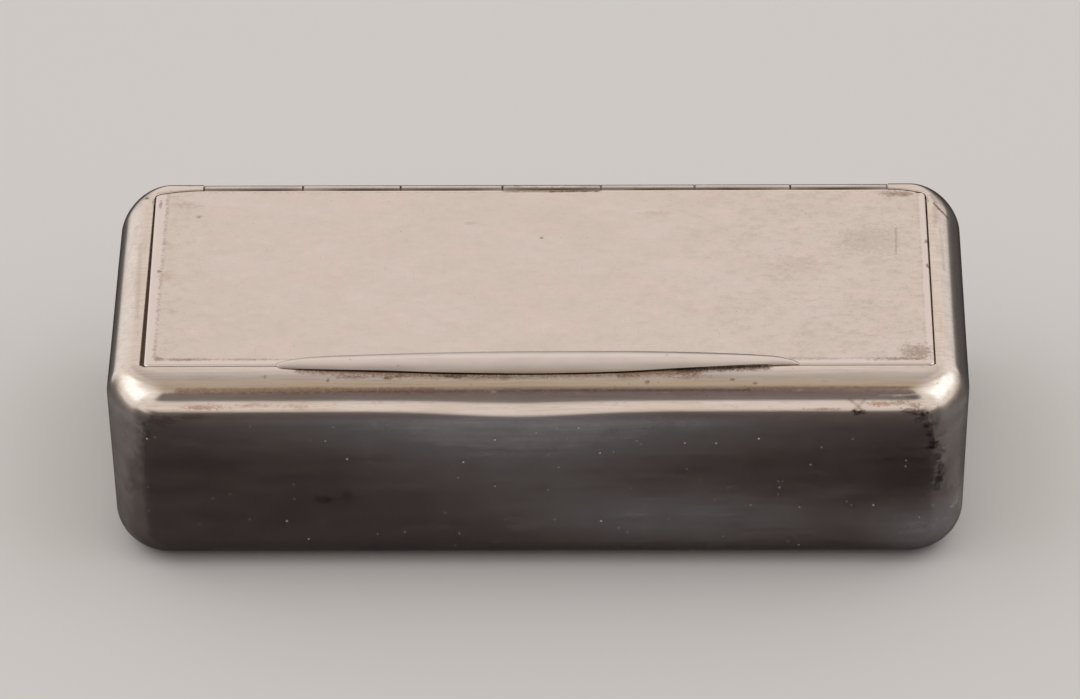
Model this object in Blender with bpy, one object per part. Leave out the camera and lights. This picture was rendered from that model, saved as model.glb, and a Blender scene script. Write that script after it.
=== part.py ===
"""A small lidded metal box with rolled edges, a flush lid and a long knuckle hinge.

The body is a front and side wall bent from one sheet, a back wall with the two
rear corners, and a base plate. The lid lies flush in the rim, turns on a barrel of
knuckles let into the top of the back wall, and is lifted by a slender thumbpiece.
Lengths are in metres, +Z is up, +Y is the hinge side, and the origin is the middle
of the flat underside.
"""

import math

import bmesh
import bpy
from mathutils import Vector

# Body shell
body_width = 0.0820
body_depth = 0.0352
body_height = 0.0206
sheet = 0.0008
wall_draft = 0.0003
front_corner_radius = 0.0057
rear_corner_radius = 0.0048
front_roll_radius = 0.0040
side_roll_radius = 0.0030
rear_roll_radius = 0.0009
base_roll_radius = 0.0040
least_radius = 0.00005

# Flat rim between the rolled edges and the opening
front_rim_flat = 0.0012
side_rim_flat = 0.00025
rear_opening_radius = 0.0005

# Strip under the rim that the lid lies on
rest_ledge = 0.0007
rest_inner_radius = 0.0002
rest_height = 0.0007
rest_lap_share = 0.8
seat_gap = 0.00005

# Hinge
knuckle_joint_shares = (0.0, 0.145, 0.288, 0.437, 0.581, 0.718, 0.858, 1.0)
knuckle_radius = 0.00075
hinge_end_inset = 0.00425
hinge_shift = 0.0005
knuckle_gap = 0.00006
pin_radius = 0.00034
pin_clearance = 0.00003
plug_length = 0.0012
plug_clearance = 0.00002
barrel_drop = 0.00015
cradle_clearance = 0.00006
cut_overrun = 0.002
body_bearer_width = 0.0009
body_bearer_height = 0.0013
lid_bearer_width = 0.0011
lid_bearer_drop = 0.0006
bearer_gap = 0.00006
solder_gap = 0.00002

# Lid
lid_hinge_gap = 0.00008
lid_undercut = 0.00055
lid_corner_setback = 0.00075
lid_left_front_gap = 0.00040
lid_side_gap = 0.00012
lid_front_gap = 0.00012
lid_corner_radius = 0.0009
lid_rear_corner_radius = 0.0004
lid_bevel = 0.00015
sweep_gap = 0.00006
flange_sheet = 0.0005
flange_drop = 0.0018
flange_side_gap = 0.00015
flange_front_gap = 0.00035
flange_corner_radius = 0.0008
flange_rear_gap = 0.0026

# Thumbpiece
thumb_length = 0.0497
thumb_reach_back = 0.0020
thumb_overhang = 0.0013
thumb_height = 0.0007
thumb_edge = 0.00012
thumb_lift = 0.00012
thumb_tip_share = 0.10

# Facets of the curved pieces
corner_steps = 10
roll_steps = 8
base_steps = 6
barrel_sides = 24
cradle_steps = 6
thumb_steps = 20
crown_steps = 6
setback_steps = 5

# Places worked out from the sizes
lid_sheet = sheet - seat_gap
opening_half = body_width / 2 - side_roll_radius - side_rim_flat
opening_front = -body_depth / 2 + front_roll_radius + front_rim_flat
front_opening_radius = rest_ledge + rest_inner_radius
rest_lap = side_rim_flat * rest_lap_share
seam_y = body_depth / 2 - rear_corner_radius
axis_y = body_depth / 2 - knuckle_radius
axis_z = body_height - barrel_drop - knuckle_radius
cradle_radius = knuckle_radius + cradle_clearance
hinge_length = 2 * (opening_half - hinge_end_inset)
hinge_left = hinge_shift - hinge_length / 2
hinge_right = hinge_shift + hinge_length / 2
lid_top = body_height
lid_under = body_height - lid_sheet
lid_rear = axis_y - knuckle_radius - lid_hinge_gap
lid_front = opening_front + lid_front_gap


def clear_scene():
    """Remove every object that the file starts with."""
    for item in list(bpy.data.objects):
        bpy.data.objects.remove(item, do_unlink=True)


def make_material(name, colour, roughness):
    """One metal for one sub-part."""
    material = bpy.data.materials.new(name)
    material.use_nodes = True
    shader = material.node_tree.nodes["Principled BSDF"]
    shader.inputs["Base Color"].default_value = (*colour, 1.0)
    shader.inputs["Roughness"].default_value = roughness
    shader.inputs["Metallic"].default_value = 1.0
    return material


def add_object(name, mesh, material, parent=None):
    """Put a mesh in the scene, with its origin on the parent's when it has one."""
    mesh.materials.append(material)
    item = bpy.data.objects.new(name, mesh)
    bpy.context.scene.collection.objects.link(item)
    if parent is not None:
        mesh.transform(parent.matrix_world.inverted())
        item.parent = parent
    mesh.shade_smooth()
    mesh.set_sharp_from_angle(angle=math.radians(30))
    return item


def solid(name, sections, caps="plain"):
    """A closed solid through sections that all have the same number of points.

    A plain cap is one face. A strip cap follows the two long sides of a thin section.
    A section list with no caps closes on its own first section.
    """
    build = bmesh.new()
    rings = [[build.verts.new(point) for point in section] for section in sections]
    count = len(rings[0])
    following = rings[1:] if caps else rings[1:] + rings[:1]
    for near, far in zip(rings, following):
        for k in range(count):
            after = (k + 1) % count
            build.faces.new((near[k], near[after], far[after], far[k]))
    for ring in (rings[0], rings[-1]):
        if caps == "plain":
            build.faces.new(ring)
        if caps == "strip":
            for k in range(count // 2 - 1):
                build.faces.new((ring[k], ring[k + 1], ring[-k - 2], ring[-k - 1]))
    bmesh.ops.recalc_face_normals(build, faces=build.faces)
    mesh = bpy.data.meshes.new(name)
    build.to_mesh(mesh)
    build.free()
    return mesh


def prism(name, outline, start, end):
    """A strip along X with the same Y and Z outline from start to end."""
    return solid(name, [[(x, y, z) for y, z in outline] for x in (start, end)])


# Wall places round the body
class Place:
    """One station round the wall: where its corner is centred and which way it faces."""

    def __init__(self, side, end, angle, along=0.0, share=1.0):
        self.side = side
        self.end = end
        self.across = 0.0 if angle >= math.pi / 2 else math.cos(angle)
        self.forward = math.sin(angle)
        self.corner = front_corner_radius if end < 0 else rear_corner_radius
        self.centre_x = side * (body_width / 2 - self.corner)
        self.centre_y = end * (body_depth / 2 - self.corner)
        self.opening_radius = front_opening_radius if end < 0 else rear_opening_radius
        self.opening_x = side * (opening_half - self.opening_radius)
        if self.forward == 1.0:
            self.centre_x *= share
            self.opening_x *= share
        if self.across == 1.0:
            self.centre_y = along
        end_roll = front_roll_radius if end < 0 else rear_roll_radius
        self.roll = side_roll_radius * self.across**2 + end_roll * self.forward**2
        self.side_roll = side_roll_radius
        self.end_roll = end_roll

    def wall_point(self, side_inset, end_inset, z):
        """The point that lies these distances inside the outer wall."""
        reach_x = max(self.corner - side_inset, least_radius)
        reach_y = max(self.corner - end_inset, least_radius)
        x = self.centre_x + self.side * self.across * reach_x
        y = self.centre_y + self.end * self.forward * reach_y
        return Vector((x, y, z))

    def opening_point(self, offset, z):
        """The point on the opening's edge, moved outward by an offset."""
        radius = self.opening_radius + offset
        x = self.opening_x + self.side * self.across * radius
        if self.end < 0:
            y = opening_front + front_opening_radius - self.forward * radius
        else:
            corner_y = rear_opening_edge(self.side * opening_half) - rear_opening_radius
            y = corner_y + self.forward * (rear_opening_edge(x) - corner_y)
        if self.across == 1.0:
            y = max(self.centre_y, opening_front + front_opening_radius)
        return Vector((x, y, z))


def front_places():
    """Stations from the left seam, round the front, to the right seam."""
    places = [Place(-1, -1, 0.0, along=seam_y)]
    start_y = -body_depth / 2 + front_corner_radius
    for k in range(corner_steps + 1):
        places.append(Place(-1, -1, math.pi / 2 * k / corner_steps, along=start_y))
    for k in range(corner_steps, -1, -1):
        places.append(Place(1, -1, math.pi / 2 * k / corner_steps, along=start_y))
    places.append(Place(1, -1, 0.0, along=seam_y))
    return places


def rear_places():
    """Stations from the left seam, round the back, to the right seam."""
    places = []
    for k in range(corner_steps + 1):
        places.append(Place(-1, 1, math.pi / 2 * k / corner_steps, along=seam_y))
    left_share = -hinge_left / (opening_half - rear_opening_radius)
    for k in range(1, setback_steps + 1):
        share = 1.0 - (1.0 - left_share) * k / setback_steps
        places.append(Place(-1, 1, math.pi / 2, share=share))
    right_share = hinge_right / (opening_half - rear_opening_radius)
    for k in range(setback_steps, 0, -1):
        share = 1.0 - (1.0 - right_share) * k / setback_steps
        places.append(Place(1, 1, math.pi / 2, share=share))
    for k in range(corner_steps, -1, -1):
        places.append(Place(1, 1, math.pi / 2 * k / corner_steps, along=seam_y))
    return places


def setback(x):
    """How far the rear edges curve forward between the hinge's end and the corner."""
    start = hinge_right if x > 0 else -hinge_left
    share = (abs(x) - start) / (opening_half - start)
    return lid_corner_setback * min(max(share, 0.0), 1.0) ** 2


def lid_sweep_radius():
    """Least distance from the hinge's axis to the lid's undercut rear edge."""
    top = Vector((lid_rear - axis_y, lid_top - axis_z))
    bottom = Vector((lid_rear - lid_undercut - axis_y, lid_under - axis_z))
    run = bottom - top
    share = min(max(-top.dot(run) / run.dot(run), 0.0), 1.0)
    return (top + run * share).length


def rear_opening_edge(x):
    """Where the rear rim's edge lies, just clear of the lid as it turns."""
    reach = lid_sweep_radius() - sweep_gap
    rise = body_height - axis_z
    return axis_y - math.sqrt(reach**2 - rise**2) - setback(x)


def wall_section(place):
    """The wall cut across: from the opening over the roll to the base, and back inside."""
    outer = [place.opening_point(0.0, body_height)]
    inner = [place.opening_point(0.0, body_height - sheet)]
    for k in range(roll_steps + 1):
        angle = math.pi / 2 * k / roll_steps
        lift = 1.0 - math.sin(angle)
        drop = 1.0 - math.cos(angle)
        outer.append(place.wall_point(
            place.side_roll * lift,
            place.end_roll * lift,
            body_height - place.roll * drop,
        ))
        side_centre = max(place.side_roll, sheet + least_radius)
        end_centre = max(place.end_roll, sheet + least_radius)
        centre = max(place.roll, sheet + least_radius)
        inner.append(place.wall_point(
            side_centre - (side_centre - sheet) * math.sin(angle),
            end_centre - (end_centre - sheet) * math.sin(angle),
            body_height - sheet - (centre - sheet) * drop,
        ))
    for k in range(base_steps + 1):
        angle = math.pi / 2 * k / base_steps
        turn = 1.0 - math.cos(angle)
        sink = 1.0 - math.sin(angle)
        inset = wall_draft + base_roll_radius * turn
        outer.append(place.wall_point(inset, inset, base_roll_radius * sink))
        inset = wall_draft + sheet + (base_roll_radius - sheet) * turn
        height = sheet + (base_roll_radius - sheet) * sink
        inner.append(place.wall_point(inset, inset, height))
    return outer + inner[::-1]


def make_body_wall(silver):
    """The front wall, both side walls and their part of the rim."""
    sections = [wall_section(place) for place in front_places()]
    return add_object("body_wall", solid("body_wall", sections, caps="strip"), silver)


def make_back_wall(silver):
    """The back wall and rear corners, cut down between the hinge's ends."""
    sections = [wall_section(place) for place in rear_places()]
    wall = add_object("back_wall", solid("back_wall", sections, caps="strip"), silver)
    cut_left = hinge_left - knuckle_gap
    cut_right = hinge_right + knuckle_gap
    cut_front = seam_y
    cut_back = body_depth / 2 + cut_overrun
    cut_bottom = axis_z - cradle_radius
    cut_top = body_height + cut_overrun
    outline = (
        (cut_front, cut_bottom), (cut_back, cut_bottom), (cut_back, cut_top), (cut_front, cut_top),
    )
    cutter_mesh = prism("hinge_cutter", outline, cut_left, cut_right)
    cutter = bpy.data.objects.new("hinge_cutter", cutter_mesh)
    bpy.context.scene.collection.objects.link(cutter)
    cutter.hide_render = True
    cutter.display_type = "WIRE"
    cut = wall.modifiers.new("hinge_cut", "BOOLEAN")
    cut.object = cutter
    cut.operation = "DIFFERENCE"
    cut.solver = "EXACT"
    return wall


def make_base_plate(silver):
    """The flat base inside the rolled lower edge."""
    places = front_places()[1:-1] + rear_places()[::-1]
    inset = wall_draft + base_roll_radius
    sections = [[place.wall_point(inset, inset, z) for place in places] for z in (0.0, sheet)]
    return add_object("base_plate", solid("base_plate", sections), silver)


def make_lid_rest(silver):
    """The strip bent round the front and sides under the rim, which the lid lies on."""
    top = body_height - sheet
    bottom = top - rest_height
    sections = []
    for place in front_places():
        sections.append([
            place.opening_point(rest_lap, top),
            place.opening_point(-rest_ledge, top),
            place.opening_point(-rest_ledge, bottom),
            place.opening_point(rest_lap, bottom),
        ])
    return add_object("lid_rest", solid("lid_rest", sections), silver)


def cradle_arc(start, end):
    """Points of the hollow that the barrel lies in, by angle about the hinge's axis."""
    points = []
    for k in range(cradle_steps + 1):
        angle = start + (end - start) * k / cradle_steps
        y = axis_y + cradle_radius * math.cos(angle)
        z = axis_z + cradle_radius * math.sin(angle)
        points.append((y, z))
    return points


def back_wall_inside(z):
    """Where the back wall's inner face lies at a height, with its draft."""
    top = body_height - rear_roll_radius
    share = (top - z) / (top - base_roll_radius)
    return body_depth / 2 - sheet - wall_draft * share


def make_body_bearer(silver):
    """The strip inside the back wall that cradles the barrel from below."""
    split_z = axis_z - lid_bearer_drop - bearer_gap
    low = axis_z - cradle_radius - body_bearer_height
    wall_face = back_wall_inside(axis_z - cradle_radius) - solder_gap
    start = math.pi + math.asin(min((axis_z - split_z) / cradle_radius, 1.0))
    end = math.pi + math.acos(max(min((axis_y - wall_face) / cradle_radius, 1.0), 0.0))
    front = axis_y - body_bearer_width
    outline = cradle_arc(start, end)
    outline.append((back_wall_inside(low) - solder_gap, low))
    outline.append((front, low + body_bearer_width))
    outline.append((front, split_z))
    mesh = prism("hinge_bearer_body", outline, hinge_left, hinge_right)
    return add_object("hinge_bearer_body", mesh, silver)


def make_lid_bearer(silver, hinge):
    """The strip under the lid's rear edge that cradles the barrel from in front."""
    start = math.pi - math.asin((lid_under - axis_z) / cradle_radius)
    end = math.pi + math.asin(lid_bearer_drop / cradle_radius)
    front = axis_y - cradle_radius - lid_bearer_width
    outline = cradle_arc(start, end)
    outline.append((front + lid_bearer_drop, axis_z - lid_bearer_drop))
    outline.append((front, axis_z))
    outline.append((front, lid_under))
    mesh = prism("hinge_bearer_lid", outline, hinge_left, hinge_right)
    return add_object("hinge_bearer_lid", mesh, silver, hinge)


def circle(radius, x):
    """Points round the hinge's axis."""
    points = []
    for k in range(barrel_sides):
        angle = 2 * math.pi * k / barrel_sides
        points.append((x, axis_y + radius * math.cos(angle), axis_z + radius * math.sin(angle)))
    return points


def tube(name, outer, inner, start, end):
    """A tube along the hinge's axis."""
    sections = [circle(outer, start), circle(outer, end), circle(inner, end), circle(inner, start)]
    return solid(name, sections, caps=None)


def rod(name, radius, start, end):
    """A rod along the hinge's axis."""
    return solid(name, [circle(radius, start), circle(radius, end)])


def make_barrel(silver, hinge):
    """The knuckles: the odd ones belong to the body and the even ones to the lid."""
    bore = pin_radius + pin_clearance
    joints = [hinge_left + hinge_length * share for share in knuckle_joint_shares]
    for number in range(1, len(joints)):
        start = joints[number - 1] + knuckle_gap / 2
        end = joints[number] - knuckle_gap / 2
        on_lid = number % 2 == 0
        owner = "lid" if on_lid else "body"
        name = f"knuckle_{number}_{owner}"
        mesh = tube(name, knuckle_radius, bore, start, end)
        add_object(name, mesh, silver, hinge if on_lid else None)


def make_pin(steel, silver):
    """The hinge pin and the two plugs that close the barrel's ends."""
    pin_left = hinge_left + plug_length + knuckle_gap
    pin_right = hinge_right - plug_length - knuckle_gap
    add_object("hinge_pin", rod("hinge_pin", pin_radius, pin_left, pin_right), steel)
    plug_radius = pin_radius + pin_clearance - plug_clearance
    spans = {
        "pin_plug_left": (hinge_left + knuckle_gap / 2, hinge_left + plug_length),
        "pin_plug_right": (hinge_right - plug_length, hinge_right - knuckle_gap / 2),
    }
    for name, (start, end) in spans.items():
        add_object(name, rod(name, plug_radius, start, end), silver)


def arc(centre_x, centre_y, radius, start, steps):
    """A quarter turn of plan points, from a starting angle."""
    points = []
    for k in range(steps + 1):
        angle = start + math.pi / 2 * k / steps
        points.append((centre_x + radius * math.cos(angle), centre_y + radius * math.sin(angle)))
    return points


def lid_outline(inset, undercut):
    """The lid's plan from its left front corner round to its left rear corner."""
    left_front = -opening_half + lid_left_front_gap + inset + lid_corner_radius
    left_rear = -opening_half + lid_side_gap + inset + lid_rear_corner_radius
    right = opening_half - lid_side_gap - inset
    right_front = right - lid_corner_radius
    right_rear = right - lid_rear_corner_radius
    front = lid_front + inset + lid_corner_radius
    points = arc(left_front, front, lid_corner_radius, math.pi, corner_steps)
    points += arc(right_front, front, lid_corner_radius, math.pi * 1.5, corner_steps)
    rear_steps = corner_steps // 2
    rear = lid_rear - setback(right_rear) - undercut - lid_rear_corner_radius
    points += arc(right_rear, rear, lid_rear_corner_radius, 0.0, rear_steps)
    for k in range(1, setback_steps + 1):
        x = right_rear + (hinge_right + knuckle_gap - right_rear) * k / setback_steps
        points.append((x, lid_rear - setback(x) - undercut))
    points.append((hinge_right, lid_rear))
    points.append((hinge_left, lid_rear))
    for k in range(setback_steps, 0, -1):
        x = left_rear + (hinge_left - knuckle_gap - left_rear) * k / setback_steps
        points.append((x, lid_rear - setback(x) - undercut))
    rear = lid_rear - setback(left_rear) - undercut - lid_rear_corner_radius
    points += arc(left_rear, rear, lid_rear_corner_radius, math.pi / 2, rear_steps)
    return points


def make_lid_plate(silver, hinge):
    """The lid: bevelled on top at its front and sides and undercut at its rear corners."""
    levels = (
        (lid_under, 0.0, lid_undercut),
        (lid_top - lid_bevel, 0.0, lid_undercut * lid_bevel / lid_sheet),
        (lid_top, lid_bevel, 0.0),
    )
    sections = []
    for z, inset, undercut in levels:
        sections.append([(x, y, z) for x, y in lid_outline(inset, undercut)])
    return add_object("lid_plate", solid("lid_plate", sections), silver, hinge)


def make_lid_flange(silver, hinge):
    """The strip bent round the underside that centres the lid in the opening."""
    side = opening_half - rest_ledge - flange_side_gap
    front = opening_front + rest_ledge + flange_front_gap
    rear = lid_rear - flange_rear_gap
    bottom = lid_under - flange_drop
    radius = flange_corner_radius
    inner = radius - flange_sheet
    outer_plan = arc(-side + radius, front + radius, radius, math.pi, corner_steps)
    outer_plan += arc(side - radius, front + radius, radius, math.pi * 1.5, corner_steps)
    inner_plan = arc(-side + radius, front + radius, inner, math.pi, corner_steps)
    inner_plan += arc(side - radius, front + radius, inner, math.pi * 1.5, corner_steps)
    outer_plan = [(-side, rear)] + outer_plan + [(side, rear)]
    inner_plan = [(-side + flange_sheet, rear)] + inner_plan + [(side - flange_sheet, rear)]
    sections = []
    for out, within in zip(outer_plan, inner_plan):
        sections.append([(*out, lid_under), (*within, lid_under), (*within, bottom), (*out, bottom)])
    return add_object("lid_flange", solid("lid_flange", sections), silver, hinge)


def make_thumbpiece(silver, hinge):
    """The slender lens on the lid's front edge, which overhangs the front rim."""
    sections = []
    for k in range(thumb_steps + 1):
        turn = math.pi * k / thumb_steps
        x = -thumb_length / 2 * math.cos(turn)
        fullness = max(math.sin(turn), thumb_tip_share)
        back = lid_front + thumb_reach_back * fullness
        front = lid_front - thumb_overhang * fullness
        crown_height = thumb_height * math.sqrt(fullness) - thumb_edge
        section = [(x, back, lid_top)]
        for step in range(crown_steps + 1):
            share = step / crown_steps
            rise = crown_height * 4 * share * (1 - share)
            section.append((x, back + (front - back) * share, lid_top + thumb_lift + thumb_edge + rise))
        section.append((x, front, lid_top + thumb_lift))
        section.append((x, lid_front, lid_top + thumb_lift))
        section.append((x, lid_front, lid_top))
        sections.append(section)
    return add_object("thumbpiece", solid("thumbpiece", sections), silver, hinge)


def make_hinge_empty():
    """The lid's parent, on the hinge's axis."""
    hinge = bpy.data.objects.new("lid_hinge_axis", None)
    bpy.context.scene.collection.objects.link(hinge)
    hinge.location = (0.0, axis_y, axis_z)
    bpy.context.view_layer.update()
    return hinge


def main():
    """Build the box, closed."""
    clear_scene()
    wall_silver = make_material("satin_silver_walls", (0.63, 0.58, 0.53), 0.30)
    lid_silver = make_material("satin_silver_lid", (0.66, 0.59, 0.53), 0.38)
    hinge_silver = make_material("hinge_silver", (0.60, 0.55, 0.50), 0.32)
    thumb_silver = make_material("thumbpiece_silver", (0.66, 0.61, 0.53), 0.25)
    pin_metal = make_material("hinge_pin_metal", (0.45, 0.43, 0.41), 0.40)
    hinge = make_hinge_empty()
    make_body_wall(wall_silver)
    make_back_wall(wall_silver)
    make_base_plate(wall_silver)
    make_lid_rest(wall_silver)
    make_body_bearer(hinge_silver)
    make_barrel(hinge_silver, hinge)
    make_pin(pin_metal, hinge_silver)
    make_lid_plate(lid_silver, hinge)
    make_lid_flange(lid_silver, hinge)
    make_lid_bearer(hinge_silver, hinge)
    make_thumbpiece(thumb_silver, hinge)


main()
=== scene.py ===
"""The lidded box's looks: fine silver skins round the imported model, a pale floor and soft studio light."""

import math

import bmesh
import bpy
from mathutils import Matrix, Vector, noise


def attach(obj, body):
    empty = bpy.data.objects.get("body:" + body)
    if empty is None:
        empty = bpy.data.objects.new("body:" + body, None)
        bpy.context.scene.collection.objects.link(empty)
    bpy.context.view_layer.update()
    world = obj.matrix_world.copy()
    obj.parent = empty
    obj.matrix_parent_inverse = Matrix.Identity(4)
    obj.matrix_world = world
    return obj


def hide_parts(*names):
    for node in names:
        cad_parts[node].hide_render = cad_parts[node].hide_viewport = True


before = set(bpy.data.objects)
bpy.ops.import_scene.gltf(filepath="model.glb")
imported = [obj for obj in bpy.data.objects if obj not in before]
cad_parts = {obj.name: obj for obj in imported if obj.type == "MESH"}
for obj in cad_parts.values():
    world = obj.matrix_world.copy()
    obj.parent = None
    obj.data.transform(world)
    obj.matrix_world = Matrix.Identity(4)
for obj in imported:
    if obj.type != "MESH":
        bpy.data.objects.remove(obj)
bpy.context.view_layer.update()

# Sizes of the model, in metres
body_width = 0.082
body_depth = 0.0352
body_height = 0.0206
sheet = 0.0008
wall_draft = 0.0003
front_corner_radius = 0.0057
rear_corner_radius = 0.0048
front_rim_edge = 0.0052
front_rim_flat = 0.0004
front_roll_height = 0.004
side_rim_edge = 0.00325
side_roll_radius = 0.003
rear_roll_radius = 0.0009
base_roll_radius = 0.004
least_radius = 0.00005
front_opening_radius = 0.0003
rear_opening_radius = 0.0005
lip_radius = 0.00012
hinge_left = -0.033
hinge_right = 0.034
knuckle_radius = 0.00075
knuckle_gap = 0.00006
knuckle_joint_shares = (0.0, 0.145, 0.288, 0.437, 0.581, 0.718, 0.858, 1.0)
pin_bore = 0.00037
barrel_drop = 0.00015
cradle_clearance = 0.00006
cut_overrun = 0.002
lid_sheet = 0.00075
lid_hinge_gap = 0.00008
lid_undercut = 0.00055
lid_corner_setback = 0.00075
lid_left_front_gap = 0.0004
lid_side_gap = 0.00012
lid_front_gap = 0.00012
lid_corner_radius = 0.00035
lid_rear_corner_radius = 0.0003
sweep_gap = 0.00006

# Places worked out from the sizes
opening_half = body_width / 2 - side_rim_edge
opening_front = -body_depth / 2 + front_rim_edge
seam_y = body_depth / 2 - rear_corner_radius
start_y = -body_depth / 2 + front_corner_radius
axis_y = body_depth / 2 - knuckle_radius
axis_z = body_height - barrel_drop - knuckle_radius
lid_top = body_height
lid_under = body_height - lid_sheet
lid_rear = axis_y - knuckle_radius - lid_hinge_gap
lid_front = opening_front + lid_front_gap
knuckle_joints = [hinge_left + (hinge_right - hinge_left) * share for share in knuckle_joint_shares]

# Fine divisions of the skins
sharp_angle = math.radians(40)
corner_steps = 26
front_roll_steps = 20
base_steps = 14
wall_steps = 12
rim_steps = 4
lip_steps = 4
inner_steps = 6
side_steps = 24
front_steps = 76
rear_steps = 36
setback_steps = 8

mm = 0.001


def put(name, data):
    """A new object in the scene."""
    thing = bpy.data.objects.new(name, data)
    bpy.context.scene.collection.objects.link(thing)
    return thing


def add_piece(name, mesh, material, body, slot, *nodes):
    """Put a mesh in the scene as a piece that stands for the named nodes."""
    mesh.materials.append(material)
    piece = put(name, mesh)
    mesh.shade_smooth()
    mesh.set_sharp_from_angle(angle=sharp_angle)
    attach(piece, body)
    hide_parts(*nodes)
    return piece


def solid(name, sections, caps=True):
    """A closed solid through sections of equal count. With no caps it closes on its first section."""
    build = bmesh.new()
    rings = [[build.verts.new(point) for point in section] for section in sections]
    count = len(rings[0])
    following = rings[1:] if caps else rings[1:] + rings[:1]
    for near, far in zip(rings, following):
        for k in range(count):
            after = (k + 1) % count
            build.faces.new((near[k], near[after], far[after], far[k]))
    if caps:
        build.faces.new(rings[0])
        build.faces.new(rings[-1])
    bmesh.ops.recalc_face_normals(build, faces=build.faces)
    mesh = bpy.data.meshes.new(name)
    build.to_mesh(mesh)
    build.free()
    return mesh


def quarter(steps):
    """Angles from zero to a right angle."""
    return [math.pi / 2 * k / steps for k in range(steps + 1)]


def soft_step(value, low, high):
    """0 below low, 1 above high and a smooth rise between."""
    share = min(max((value - low) / (high - low), 0.0), 1.0)
    return share * share * (3.0 - 2.0 * share)


def read_table(table, share):
    """A smooth curve through (share, value) rows."""
    rows = [table[0], *table, table[-1]]
    k = 1
    while k < len(rows) - 3 and share > rows[k + 1][0]:
        k += 1
    before, start, end, after = rows[k - 1:k + 3]
    span = end[0] - start[0]
    t = (share - start[0]) / span
    lean_start = (end[1] - before[1]) / max(end[0] - before[0], span) * span
    lean_end = (after[1] - start[1]) / max(after[0] - start[0], span) * span
    blend = t * t * (3 - 2 * t)
    bend = t * (1 - t) * ((1 - t) * lean_start - t * lean_end)
    return start[1] + (end[1] - start[1]) * blend + bend


# Body skin
class Place:
    """One station round the wall: where its corner is centred and which way it faces."""

    def __init__(self, side, end, angle, along=0.0, share=1.0):
        self.side = side
        self.end = end
        self.across = 0.0 if angle >= math.pi / 2 else math.cos(angle)
        self.forward = math.sin(angle)
        self.corner = front_corner_radius if end < 0 else rear_corner_radius
        self.centre_x = side * (body_width / 2 - self.corner)
        self.centre_y = end * (body_depth / 2 - self.corner)
        self.opening_radius = front_opening_radius if end < 0 else rear_opening_radius
        self.opening_x = side * (opening_half - self.opening_radius)
        if self.forward == 1.0:
            self.centre_x *= share
            self.opening_x *= share
        if self.across == 1.0:
            self.centre_y = along
        self.end_reach = front_rim_edge - front_rim_flat if end < 0 else rear_roll_radius
        end_drop = front_roll_height if end < 0 else rear_roll_radius
        self.drop = side_roll_radius * self.across**2 + end_drop * self.forward**2

    def wall_point(self, side_inset, end_inset, z):
        """The point that lies these distances inside the outer wall."""
        reach_x = max(self.corner - side_inset, least_radius)
        reach_y = max(self.corner - end_inset, least_radius)
        x = self.centre_x + self.side * self.across * reach_x
        y = self.centre_y + self.end * self.forward * reach_y
        return Vector((x, y, z))

    def opening_point(self, offset, z):
        """The point on the opening's edge, moved outward by an offset."""
        radius = self.opening_radius + offset
        x = self.opening_x + self.side * self.across * radius
        if self.end < 0:
            y = opening_front + front_opening_radius - self.forward * radius
        else:
            corner_y = rear_opening_edge(self.side * opening_half) - rear_opening_radius
            y = corner_y + self.forward * (rear_opening_edge(x) - corner_y + offset)
        if self.across == 1.0:
            low = opening_front + front_opening_radius
            y = seam_y + (self.centre_y - seam_y) * (low - seam_y) / (start_y - seam_y)
        return Vector((x, y, z))


def spread(start, end, steps):
    """Evenly spaced values after the start, up to the end."""
    return [start + (end - start) * k / steps for k in range(1, steps + 1)]


def body_places():
    """Stations from the left seam round the front to the right seam and back round the rear."""
    turns = quarter(corner_steps)
    places = [Place(-1, -1, 0.0, along=y) for y in [seam_y, *spread(seam_y, start_y, side_steps)]]
    places += [Place(-1, -1, angle) for angle in turns[1:]]
    shares = spread(-1.0, 1.0, front_steps)[:-1]
    places += [Place(1, -1, math.pi / 2, share=share) for share in shares]
    places += [Place(1, -1, angle) for angle in turns[:0:-1]]
    places += [Place(1, -1, 0.0, along=y) for y in [start_y, *spread(start_y, seam_y, side_steps)]]
    places += [Place(1, 1, angle) for angle in turns[1:]]
    right_share = hinge_right / (opening_half - rear_opening_radius)
    left_share = hinge_left / (opening_half - rear_opening_radius)
    shares = spread(1.0, right_share, setback_steps)
    shares += spread(right_share, left_share, rear_steps)
    shares += spread(left_share, -1.0, setback_steps)[:-1]
    places += [Place(1, 1, math.pi / 2, share=share) for share in shares]
    places += [Place(-1, 1, angle) for angle in turns[:0:-1]]
    return places


def setback(x):
    """How far the rear edges curve forward between the hinge's end and the corner."""
    start = hinge_right if x > 0 else -hinge_left
    share = (abs(x) - start) / (opening_half - start)
    return lid_corner_setback * min(max(share, 0.0), 1.0) ** 2


def rear_opening_edge(x):
    """Where the rear rim's edge lies, just clear of the lid as it turns."""
    top = Vector((lid_rear - axis_y, lid_top - axis_z))
    bottom = Vector((lid_rear - lid_undercut - axis_y, lid_under - axis_z))
    run = bottom - top
    share = min(max(-top.dot(run) / run.dot(run), 0.0), 1.0)
    reach = (top + run * share).length - sweep_gap
    rise = body_height - axis_z
    return axis_y - math.sqrt(reach**2 - rise**2) - setback(x)


# How the hand-raised wall departs from the true surface
wave_height = 0.00003
wave_length = 0.014
belly_height = 0.00026
belly_x = -0.002
belly_half_width = 0.008
belly_top_heights = (0.0199, 0.0174)
belly_foot_heights = (0.001, 0.012)
belly_front_power = 4
wave_tilts = (0.2, 0.7)


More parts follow.
